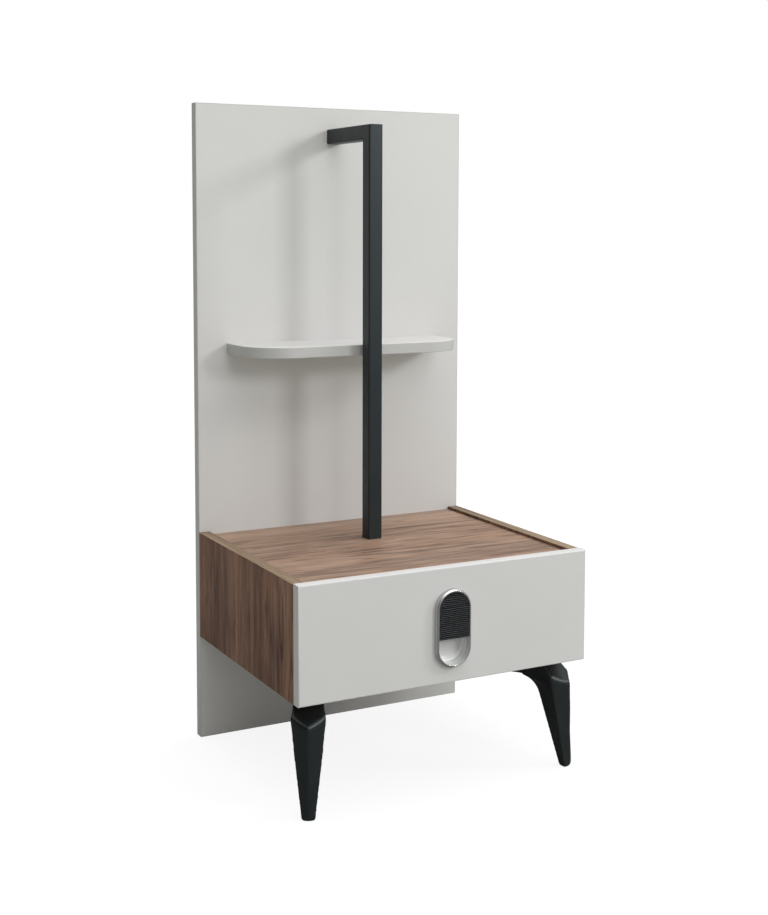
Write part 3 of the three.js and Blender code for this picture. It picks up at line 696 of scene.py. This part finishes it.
def web_openings(node, web_x, screws):
    """Holes for the screws in a web, and slots with round ends in what is left between them."""
    low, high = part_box(node)
    reach = 4 * RUNNER_WALL
    tool = bmesh.new()
    for screw_node in screws:
        place = middle(screw_node)
        place.x = web_x - reach / 2
        rod(tool, RUNNER_SCREW["shank"] + DRILL_CLEARANCE, reach, place, (1, 0, 0))
    count = int((high.y - low.y) / SLOT_PITCH)
    for i in range(count):
        y = (low.y + high.y) / 2 + (i - (count - 1) / 2) * SLOT_PITCH
        if all(abs(middle(screw_node).y - y) > SLOT_LENGTH for screw_node in screws):
            slot = bmesh.ops.create_cube(tool, size=1)["verts"]
            bmesh.ops.scale(tool, vec=(reach, SLOT_LENGTH, SLOT_HEIGHT), verts=slot)
            bmesh.ops.translate(tool, vec=(web_x, y, (low.z + high.z) / 2), verts=slot)
            edges = {edge for vert in slot for edge in vert.link_edges}
            ends = [e for e in edges if abs(e.verts[0].co.x - e.verts[1].co.x) > RUNNER_WALL]
            bevelled(tool, ends, 0.49 * SLOT_HEIGHT, segments=6)
    return tool


def rolled_channel(node, web_end):
    """A channel along Y with its web at the lower or the higher X, and rounded bends."""
    low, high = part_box(node)
    web_x = low.x if web_end < 0 else high.x
    tip_x = high.x if web_end < 0 else low.x
    inside = web_x - web_end * RUNNER_WALL
    lip_low, lip_high = low.z + RUNNER_WALL, high.z - RUNNER_WALL
    corners = [
        (web_x, low.z), (tip_x, low.z), (tip_x, lip_low), (inside, lip_low),
        (inside, lip_high), (tip_x, lip_high), (tip_x, high.z), (web_x, high.z),
    ]
    shape = bmesh.new()
    end = shape.faces.new([shape.verts.new((x, low.y, z)) for x, z in corners])
    extruded(shape, [end], (0, high.y - low.y, 0))
    for x, radius in ((web_x, BEND_RADIUS), (inside, BEND_RADIUS - RUNNER_WALL)):
        bends = [
            e for e in shape.edges
            if abs(e.verts[0].co.x - x) < TOUCHING and abs(e.verts[0].co.y - e.verts[1].co.y) > MM
        ]
        bevelled(shape, bends, radius, segments=4)
    return shape, web_x


for side, sign in (("left", -1), ("right", 1)):
    for member, web_end, body in (
        ("outer", sign, "cabinet"),
        ("middle", sign, f"middle_member_{side}"),
        ("inner", -sign, "drawer"),
    ):
        node = f"runner_{member}_{side}"
        shape, web_x = rolled_channel(node, web_end)
        screws = [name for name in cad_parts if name.startswith(f"runner_{member}_screw_{side}")]
        shape = combined(shape, web_openings(node, web_x, screws))
        piece(f"{node}_rolled", shape, [zinc], body, [node])


# Drawer box: two sides, a back and an inner front of thin chipboard in a pale grey foil, banded on their
# upper edges, with a thin base that slides into grooves.
def drawer_foil(name, colour):
    """Pale printed foil with a faint linen weave."""
    finish = Finish(name, Specular_IOR_Level=0.35)
    place = finish.place()
    cloud = finish.noise(place, 10, detail=3)
    warp = finish.noise(place, (60, 60, 1400), detail=1)
    weft = finish.noise(place, (1400, 1400, 60), detail=1)
    threads = warp + weft
    darker = tuple(0.93 * part for part in colour)
    finish.set("Base Color", finish.blend(0.5 * threads * cloud + 0.2, darker, colour))
    finish.set("Roughness", 0.5 + 0.15 * cloud)
    finish.bump(threads, 0.03 * MM, 0.4)
    return finish


pale_foil = drawer_foil("pale_drawer_foil", (0.7, 0.685, 0.65))
pale_band = melamine("pale_edge_band", (0.66, 0.645, 0.61))
GROOVE_CLEARANCE = 0.2 * MM


def base_groove():
    """The base's own block with its clearance, to be cut from the boards round it."""
    low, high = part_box("drawer_base")
    spare = Vector((GROOVE_CLEARANCE,) * 3)
    tool = bmesh.new()
    rounded_block(tool, low - spare, high + spare, 0)
    return tool


for node in ("drawer_inner_front", "drawer_side_left", "drawer_side_right", "drawer_back", "drawer_base"):
    board = bmesh.new()
    if node == "drawer_base":
        rounded_block(board, *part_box(node), 0.2 * MM)
    else:
        banded_block(board, *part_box(node), ["high"])
    if node.startswith(("drawer_inner", "drawer_side")):
        board = combined(board, base_groove())
    piece(f"{node}_board", board, [pale_foil, pale_band], "drawer", [node])


# Drawer front: fibreboard wrapped in a plain grey foil, its front edges well rounded. An oblong pocket is
# routed into it for the handle, and two screws from inside hold it on the drawer box.
FRONT_ROUNDING = 2.2 * MM
REAR_ROUNDING = 0.8 * MM
HANDLE_WIDTH = 60 * MM
HANDLE_HEIGHT = 120 * MM
RIM_WIDTH = 3.5 * MM
CUP_WALL = 1.2 * MM
CUP_DEPTH = 14.5 * MM
CUP_FLOOR = 1 * MM
CUP_FILLET = 2.5 * MM
POCKET_SPARE = 0.3 * MM
POCKET_START = -5 * MM
TURN_STEPS = 96


def oblong(shape, profile, place, width, height):
    """Adds an upright oblong with round ends: a shape turned about Y, its two halves then drawn apart. The
    profile holds pairs of distance in from the outline and distance behind the place."""
    radius = width / 2
    half_step = math.pi / TURN_STEPS
    start = Matrix.Rotation(half_step, 3, "Y") @ Vector((1, 0, 0))
    behind = Vector((0, 1, 0))
    verts = [shape.verts.new(place + (radius - inset) * start + back * behind) for inset, back in profile]
    edges = [shape.edges.new(pair) for pair in zip(verts, verts[1:])]
    bmesh.ops.spin(
        shape, geom=verts + edges, cent=place, axis=(0, 1, 0), angle=2 * math.pi, steps=TURN_STEPS,
        use_merge=True,
    )
    bmesh.ops.remove_doubles(shape, verts=shape.verts[:], dist=WELD)
    apart = (height - width) / 2
    for vert in shape.verts:
        vert.co.z += math.copysign(apart, vert.co.z - place.z)
    open_edges = [edge for edge in shape.edges if edge.is_boundary]
    bmesh.ops.holes_fill(shape, edges=open_edges)


cup_low, cup_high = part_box("handle_cup")
front_low, front_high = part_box("drawer_front")
handle_place = Vector(((cup_low.x + cup_high.x) / 2, front_low.y, (cup_low.z + cup_high.z) / 2))
shell_inset = RIM_WIDTH - CUP_WALL

pocket = bmesh.new()
pocket_inset = shell_inset - POCKET_SPARE
pocket_outline = [(pocket_inset, POCKET_START), (pocket_inset, CUP_DEPTH + POCKET_SPARE)]
oblong(pocket, pocket_outline, handle_place, HANDLE_WIDTH, HANDLE_HEIGHT)

board = bmesh.new()
rounded_block(board, front_low, front_high, 0)
for y, radius in ((front_low.y, FRONT_ROUNDING), (front_high.y, REAR_ROUNDING)):
    edges = [e for e in board.edges if all(abs(v.co.y - y) < TOUCHING for v in e.verts)]
    bevelled(board, edges, radius, segments=5)
board = combined(board, pocket)
front_grey = melamine("front_grey_foil", (0.575, 0.568, 0.564))
piece("drawer_front_board", board, [front_grey], "drawer", ["drawer_front"])


# Handle: a chrome-plated cup with a rounded rim that stands proud of the front, open below as a finger
# pocket, and a ribbed black plate over its upper part. Two screws from inside the drawer hold the cup.
RIM_CHAMFER = 2.2 * MM
RIM_ROUNDING = 0.4 * MM
LIP_RADIUS = 0.5 * MM
BOSS_RADIUS = 4 * MM
SATIN_RISE = 2 * MM
RIB_COUNT = 24
RIB_HEIGHT = 1.5 * MM
RIB_STEPS = 8
CREST_POLISH = 0.27


def chrome_plate(satin_start):
    """Chrome with a faint haze from handling. It is polished on the rim and satin inside the cup, which
    begins at satin_start."""
    finish = Finish("chrome_plate", Metallic=1.0)
    place = finish.place()
    haze = finish.noise(place, 60, detail=4, roughness=0.6)
    behind = finish.node("SeparateXYZ", {}, {"Vector": place}, "Y")
    satin = behind.between(satin_start, satin_start + SATIN_RISE)
    polished = finish.blend(haze, (0.53, 0.54, 0.54), (0.64, 0.645, 0.64))
    finish.set("Base Color", finish.blend(satin, polished, (0.84, 0.845, 0.83)))
    finish.set("Roughness", 0.12 + 0.12 * haze + 0.4 * satin)
    finish.bump(finish.noise(place, 90, detail=1), 0.02 * MM, 0.3)
    return finish


def arc(centre, radius, start, end, steps):
    """Points of an arc between two angles in degrees, as pairs of inset and depth."""
    turns = [math.radians(start + (end - start) * i / steps) for i in range(steps + 1)]
    return [(centre[0] + radius * math.cos(t), centre[1] + radius * math.sin(t)) for t in turns]


proud = cup_low.y - handle_place.y
floor_back = CUP_DEPTH - CUP_FLOOR
outer_centre = (RIM_ROUNDING, proud + RIM_CHAMFER)
crown_centre = (RIM_CHAMFER, proud + RIM_ROUNDING)
fillet_centre = (RIM_WIDTH + CUP_FILLET, floor_back - CUP_FILLET)
lip_centre = (RIM_WIDTH - LIP_RADIUS, proud + LIP_RADIUS)
cup_profile = [
    (shell_inset + CUP_FILLET, CUP_DEPTH),
    (shell_inset, CUP_DEPTH),
    (shell_inset, 0),
    (0, 0),
    *arc(outer_centre, RIM_ROUNDING, 180, 225, steps=2),
    *arc(crown_centre, RIM_ROUNDING, 225, 270, steps=2),
    *arc(lip_centre, LIP_RADIUS, 270, 360, steps=3),
    *arc(fillet_centre, CUP_FILLET, 180, 90, steps=8),
]
cup = bmesh.new()
oblong(cup, cup_profile, handle_place, HANDLE_WIDTH, HANDLE_HEIGHT)
plate_low, plate_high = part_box("handle_insert")
for node in ("handle_screw_1", "handle_screw_2"):
    foot = middle(node)
    foot.y = handle_place.y + CUP_DEPTH - CUP_FLOOR / 2
    rod(cup, BOSS_RADIUS, foot.y - plate_high.y, foot, FORWARD, steps=32)
chrome = chrome_plate(handle_place.y)
piece("handle_cup_plated", cup, [chrome], "drawer", ["handle_cup"], crease=35)

# The plate: ribs across its whole width, trimmed to the round end.
rib_pitch = (plate_high.z - plate_low.z) / RIB_COUNT
ribs = bmesh.new()
profile = [(plate_high.y, plate_high.z), (plate_high.y, plate_low.z)]
for i in range(RIB_COUNT):
    for k in range(RIB_STEPS):
        turn = math.pi * k / RIB_STEPS
        z = plate_low.z + rib_pitch * (i + (1 - math.cos(turn)) / 2)
        profile.append((plate_low.y + RIB_HEIGHT * (1 - math.sin(turn)), z))
profile.append((plate_low.y + RIB_HEIGHT, plate_high.z))
end = ribs.faces.new([ribs.verts.new((plate_low.x, y, z)) for y, z in profile])
plate_width = plate_high.x - plate_low.x
extruded(ribs, [end], (plate_width, 0, 0))

trim = bmesh.new()
trim_place = Vector((handle_place.x, plate_low.y - MM, plate_high.z - plate_width))
trim_reach = plate_high.y - plate_low.y + 2 * MM
oblong(trim, [(0, 0), (0, trim_reach)], trim_place, plate_width, 2 * plate_width)
bmesh.ops.recalc_face_normals(ribs, faces=ribs.faces)
plate = combined(ribs, trim, "INTERSECT")

# The crests are polished by hands, and the grooves between them stay dull.
rib_black = moulded_plastic("black_ribbed_plastic", (0.003, 0.0038, 0.004), 0.05, 0.1)
rib_depth = rib_black.node("SeparateXYZ", {}, {"Vector": rib_black.place()}, "Y") - plate_low.y
crest = 1 - rib_depth.between(0.1 * RIB_HEIGHT, 0.45 * RIB_HEIGHT)
rib_black.set("Coat Weight", CREST_POLISH * crest)
piece("handle_plate_ribbed", plate, [rib_black], "drawer", ["handle_insert"], crease=50)


# Screws: zinc-plated steel with a hexagon socket in the head. The ones through the back panel and into the
# drawer front are countersunk. The ones in the post, the runners, the legs and the handle have pan heads.
SOCKET_RADIUS_SHARE = 0.5
SOCKET_DEPTH_SHARE = 0.55
THREAD_PITCH = 1.6 * MM
THREAD_DEPTH = 0.45 * MM
POINT = 2.5 * MM
UP = Vector((0, 0, 1))
RIGHT = Vector((1, 0, 0))
POST_SCREW = {"head": 6 * MM, "head_height": 3.6 * MM, "shank": 2.9 * MM, "sunk": False}
LEG_SCREW = {"head": 4 * MM, "head_height": 2.6 * MM, "shank": 2 * MM, "sunk": False}
FRONT_SCREW = {"head": 3.6 * MM, "head_height": 2.6 * MM, "shank": 1.75 * MM, "sunk": True}
HANDLE_SCREW = {"head": 3.8 * MM, "head_height": 2.6 * MM, "shank": 1.9 * MM, "sunk": False}


def screw_profile(kind, length):
    """From the head's face to the point, as pairs of radius and distance from the face."""
    head, height, shank = kind["head"], kind["head_height"], kind["shank"]
    if kind["sunk"]:
        profile = [(0, 0), (head - 0.2 * MM, 0), (head, height / 8), (shank, height)]
    else:
        profile = [(0, 0), (0.6 * head, 0), (0.9 * head, 0.25 * height), (head, 0.7 * height)]
        profile += [(head, height), (shank, height)]
    reach = height + THREAD_PITCH
    while reach < length - POINT:
        profile.append((shank, reach))
        profile.append((shank - THREAD_DEPTH, reach + THREAD_PITCH / 2))
        reach += THREAD_PITCH
    return profile + [(0, length)]


def screw(node, kind, along, body):
    """A screw that lies along a direction, its head at the near end of the node's box."""
    low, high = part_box(node)
    length = abs((high - low).dot(along))
    head = middle(node) - along * length / 2
    shape = bmesh.new()
    turned(shape, screw_profile(kind, length), head, along, 24)
    socket = bmesh.new()
    depth = SOCKET_DEPTH_SHARE * kind["head_height"]
    rod(socket, SOCKET_RADIUS_SHARE * kind["head"], depth + MM, head - MM * along, along, steps=6)
    piece(f"{node}_zinc", combined(shape, socket), [zinc], body, [node], crease=30)


for node, kind in panel_screws.items():
    screw(node, kind, FORWARD, "cabinet")
screw("post_screw", POST_SCREW, UP, "cabinet")
for side, sign in (("left", -1), ("right", 1)):
    screw(f"front_screw_{side}", FRONT_SCREW, FORWARD, "drawer")
    for i in (1, 2):
        screw(f"leg_screw_{side}_{i}", LEG_SCREW, UP, "cabinet")
        screw(f"runner_outer_screw_{side}_{i}", RUNNER_SCREW, sign * RIGHT, "cabinet")
        screw(f"runner_inner_screw_{side}_{i}", RUNNER_SCREW, -sign * RIGHT, "drawer")
for i in (1, 2):
    screw(f"handle_screw_{i}", HANDLE_SCREW, FORWARD, "drawer")


# Floor: a plain pale disc that the cabinet stands on, and soft white light around it, strongest from
# above and from the front. Three lamps in front of it throw the soft shadows on the back panel.
FLOOR_RADIUS = 60
floor_finish = Finish("pale_floor", Specular_IOR_Level=0.1, Emission_Strength=1.0)
seen = floor_finish.node("LightPath", output="Is Camera Ray")
mirrored = floor_finish.node("LightPath", output="Is Glossy Ray")
unseen = floor_finish.blend(mirrored, (0.38, 0.392, 0.36), (0.17, 0.17, 0.17))
floor_finish.set("Base Color", floor_finish.blend(seen, unseen, (0.12, 0.12, 0.12)))
floor_finish.set("Emission Color", floor_finish.blend(seen, (0, 0, 0), (0.88, 0.88, 0.88)))
floor_finish.set("Roughness", 0.85 + 0.1 * floor_finish.noise(floor_finish.place(), 30))
ground = bmesh.new()
bmesh.ops.create_circle(ground, cap_ends=True, segments=96, radius=FLOOR_RADIUS)
floor = as_object(ground, "floor")
floor.data.materials.append(floor_finish.material)

ZENITH = 3.15
ZENITH_LEAN = 0.5
FRONT = 0.72
REAR = 0.3
RIGHT_SIDE = 0.35
studio = bpy.data.worlds.new("studio")
studio.use_nodes = True
bpy.context.scene.world = studio
sky = Nodes(studio.node_tree)
direction = sky.node("TexCoord", output="Generated")
east, north, height = [sky.node("SeparateXYZ", {}, {"Vector": direction}, letter) for letter in "XYZ"]
above = ZENITH * height.at_least(0) ** 4 * (1 + ZENITH_LEAN * east)
around = FRONT * (-1 * north).at_least(0) ** 2 + REAR * north.at_least(0) ** 2
around = around + RIGHT_SIDE * east.at_least(0) ** 2
in_view = sky.node("LightPath", output="Is Camera Ray")
background = studio.node_tree.nodes["Background"]
background.inputs["Color"].default_value = (1, 1, 1, 1)
sky.feed(background.inputs["Strength"], (above + around).at_least(in_view))
bpy.context.scene.view_settings.view_transform = "Standard"

LAMP_TARGET = Vector((0, 0, 0.6))


def lamp(name, azimuth, elevation, distance, size, power):
    """A square lamp that faces the cabinet. Its azimuth counts in degrees to the right from the front."""
    data = bpy.data.lights.new(name, "AREA")
    data.shape = "SQUARE"
    data.size = size
    data.energy = power
    made = bpy.data.objects.new(name, data)
    turn, rise = math.radians(azimuth), math.radians(elevation)
    away = Vector((math.sin(turn) * math.cos(rise), -math.cos(turn) * math.cos(rise), math.sin(rise)))
    made.location = LAMP_TARGET + distance * away
    made.rotation_euler = away.to_track_quat("Z", "Y").to_euler()
    made.visible_camera = False
    bpy.context.scene.collection.objects.link(made)


lamp("key_lamp", azimuth=28, elevation=18, distance=2.8, size=0.5, power=15)
lamp("side_lamp", azimuth=63, elevation=26, distance=6.0, size=1.1, power=86)
lamp("front_lamp", azimuth=-3, elevation=24, distance=3.0, size=0.5, power=5)
